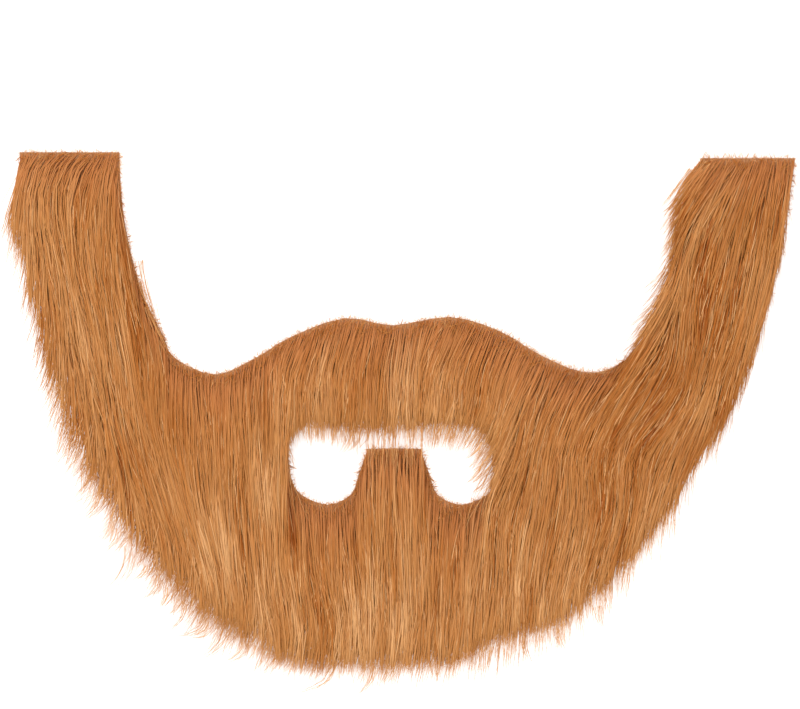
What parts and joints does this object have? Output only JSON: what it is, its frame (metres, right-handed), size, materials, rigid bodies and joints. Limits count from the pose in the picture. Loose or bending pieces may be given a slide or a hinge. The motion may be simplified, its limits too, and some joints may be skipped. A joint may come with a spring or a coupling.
{
  "type": "fake beard",
  "caption": "Flat costume beard of long combed pile on a cut knitted ground cloth, with sideburns, moustache, mouth opening and lip tab.",
  "frame": {"origin": "under the middle of the beard's box, in the plane of the cloth's back that it lies on", "axes": "+X across the face, from the sideburn on the left in front view to the one on the right; +Y up the face, from the chin to the sideburns; +Z out of the cloth into the pile"},
  "size_m": [0.2786, 0.1806, 0.0101],
  "materials": {
    "backing_cloth": "knitted ground cloth, matt ginger brown",
    "pile": "long straight ginger pile with a soft silky sheen"
  },
  "bodies": {
    "root": {"backing": "backing_cloth", "fur": "pile"}
  },
  "joints": []
}
